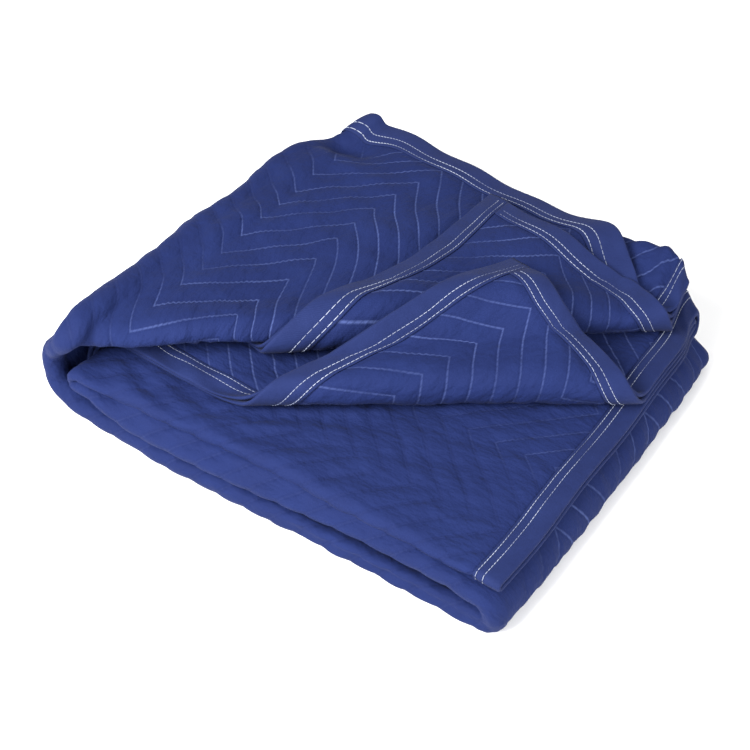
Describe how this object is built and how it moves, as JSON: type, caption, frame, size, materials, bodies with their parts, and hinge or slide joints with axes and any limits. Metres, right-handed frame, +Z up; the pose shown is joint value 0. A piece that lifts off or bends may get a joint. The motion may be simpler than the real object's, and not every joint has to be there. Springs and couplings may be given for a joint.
{
  "type": "moving blanket",
  "caption": "Quilted moving blanket folded into a compact stack, chevron stitched, with bound edges and two corners turned back.",
  "frame": {"origin": "on the floor under the middle of the folded stack", "axes": "+X along the stack's longer side towards the turned folds on the right, +Y from the rolled front to the back, +Z up"},
  "size_m": [0.5402, 0.5256, 0.1541],
  "materials": {
    "blanket": "quilted royal blue cloth with a soft low sheen",
    "binding": "plain blue edge tape with two rows of pale stitches"
  },
  "bodies": {
    "root": {"blanket": "blanket", "binding_left": "binding", "binding_right": "binding", "binding_start": "binding", "binding_end": "binding"}
  },
  "joints": []
}
